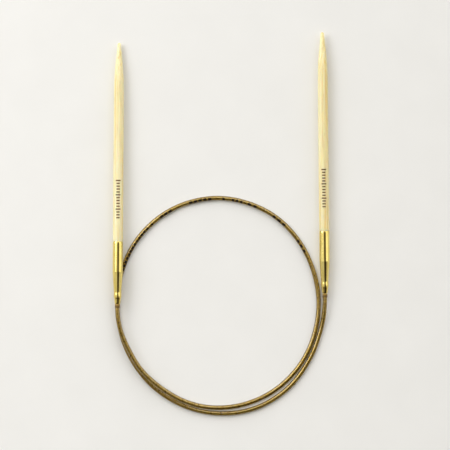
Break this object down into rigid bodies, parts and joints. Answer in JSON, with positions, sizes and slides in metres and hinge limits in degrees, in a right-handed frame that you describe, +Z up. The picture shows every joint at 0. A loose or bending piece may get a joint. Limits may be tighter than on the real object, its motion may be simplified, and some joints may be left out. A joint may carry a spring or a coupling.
{
  "type": "circular knitting needle",
  "caption": "Circular knitting needle with bamboo tips, brass joins that turn on the cable, and a long jacketed wire cable laid in a loop.",
  "frame": {"origin": "on the table plane, under the middle of the box round the two rigid needles and their collars, with the free cable left out", "axes": "+Y the way both points face, +X from the left needle to the right needle seen from above, +Z up from the table"},
  "size_m": [0.0758, 0.1342, 0.0051],
  "materials": {
    "bamboo": "pale bamboo, sanded and waxed, fine lengthwise grain",
    "brass": "polished yellow brass",
    "jacket": "smooth translucent amber-khaki nylon over the wire",
    "collar": "smooth dark amber nylon",
    "steel_wire": "fine twisted steel wire, bronzed",
    "crimp": "dull crimped brass tube"
  },
  "bodies": {
    "cable": {"cable_jacket": "jacket", "cable_core": "steel_wire", "left_cable_collar": "collar", "right_cable_collar": "collar", "left_crimp_stop": "crimp", "right_crimp_stop": "crimp"},
    "left_needle": {"left_needle_tip": "bamboo", "left_ferrule": "brass"},
    "right_needle": {"right_needle_tip": "bamboo", "right_ferrule": "brass"}
  },
  "joints": [
    {"name": "left_swivel", "type": "hinge", "parent": "cable", "child": "left_needle", "pos_m": [-0.03624, -0.04677, 0.00357], "axis": [-0.0065, -0.9997, 0.0241], "continuous": true},
    {"name": "right_swivel", "type": "hinge", "parent": "cable", "child": "right_needle", "pos_m": [0.03626, -0.0431, 0.00178], "axis": [0.01, -0.9999, 0], "continuous": true}
  ]
}
